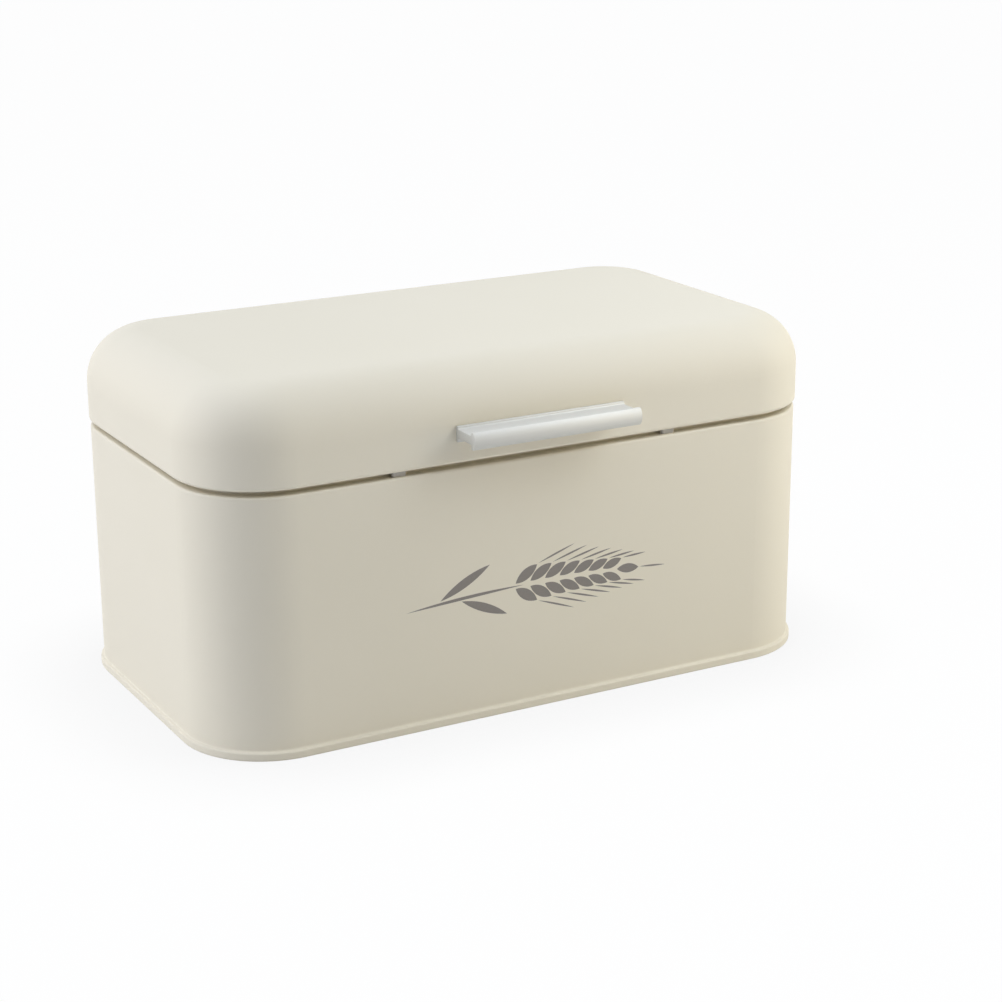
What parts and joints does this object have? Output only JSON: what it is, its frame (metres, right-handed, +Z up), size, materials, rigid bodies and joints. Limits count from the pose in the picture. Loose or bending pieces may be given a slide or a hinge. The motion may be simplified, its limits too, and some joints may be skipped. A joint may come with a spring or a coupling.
{
  "type": "bread box",
  "caption": "Free-standing bread box of coated sheet steel: a rounded body on a proud bottom seam, a deep rear-hinged lid with a soft top edge and a bar handle on the lid's front.",
  "frame": {"origin": "centre of the bottom seam, on the surface the box stands on", "axes": "+Z up, +X to the right along the width seen from the front, front with the handle towards -Y, hinges towards +Y"},
  "size_m": [0.3, 0.1909, 0.155],
  "materials": {
    "cream_powder_coat": "satin powder coat on steel sheet",
    "satin_aluminium": "satin anodised extrusion",
    "plated_steel": "bright zinc plating",
    "soft_silicone": "pale translucent silicone"
  },
  "bodies": {
    "box": {"body_wall": "cream_powder_coat", "base_plate": "cream_powder_coat", "left_bumper": "soft_silicone", "right_bumper": "soft_silicone", "left_hinge_body_leaf": "plated_steel", "right_hinge_body_leaf": "plated_steel", "left_hinge_pin": "plated_steel", "right_hinge_pin": "plated_steel", "left_body_rivets": "plated_steel", "right_body_rivets": "plated_steel"},
    "lid": {"lid_shell": "cream_powder_coat", "handle_bar": "satin_aluminium", "handle_screws": "plated_steel", "handle_washers": "plated_steel", "left_hinge_lid_leaf": "plated_steel", "right_hinge_lid_leaf": "plated_steel", "left_lid_rivets": "plated_steel", "right_lid_rivets": "plated_steel"}
  },
  "joints": [
    {"name": "lid_hinge", "type": "hinge", "parent": "box", "child": "lid", "pos_m": [0, 0.08665, 0.11355], "axis": [-1, 0, 0], "range_deg": [0, 100]}
  ]
}
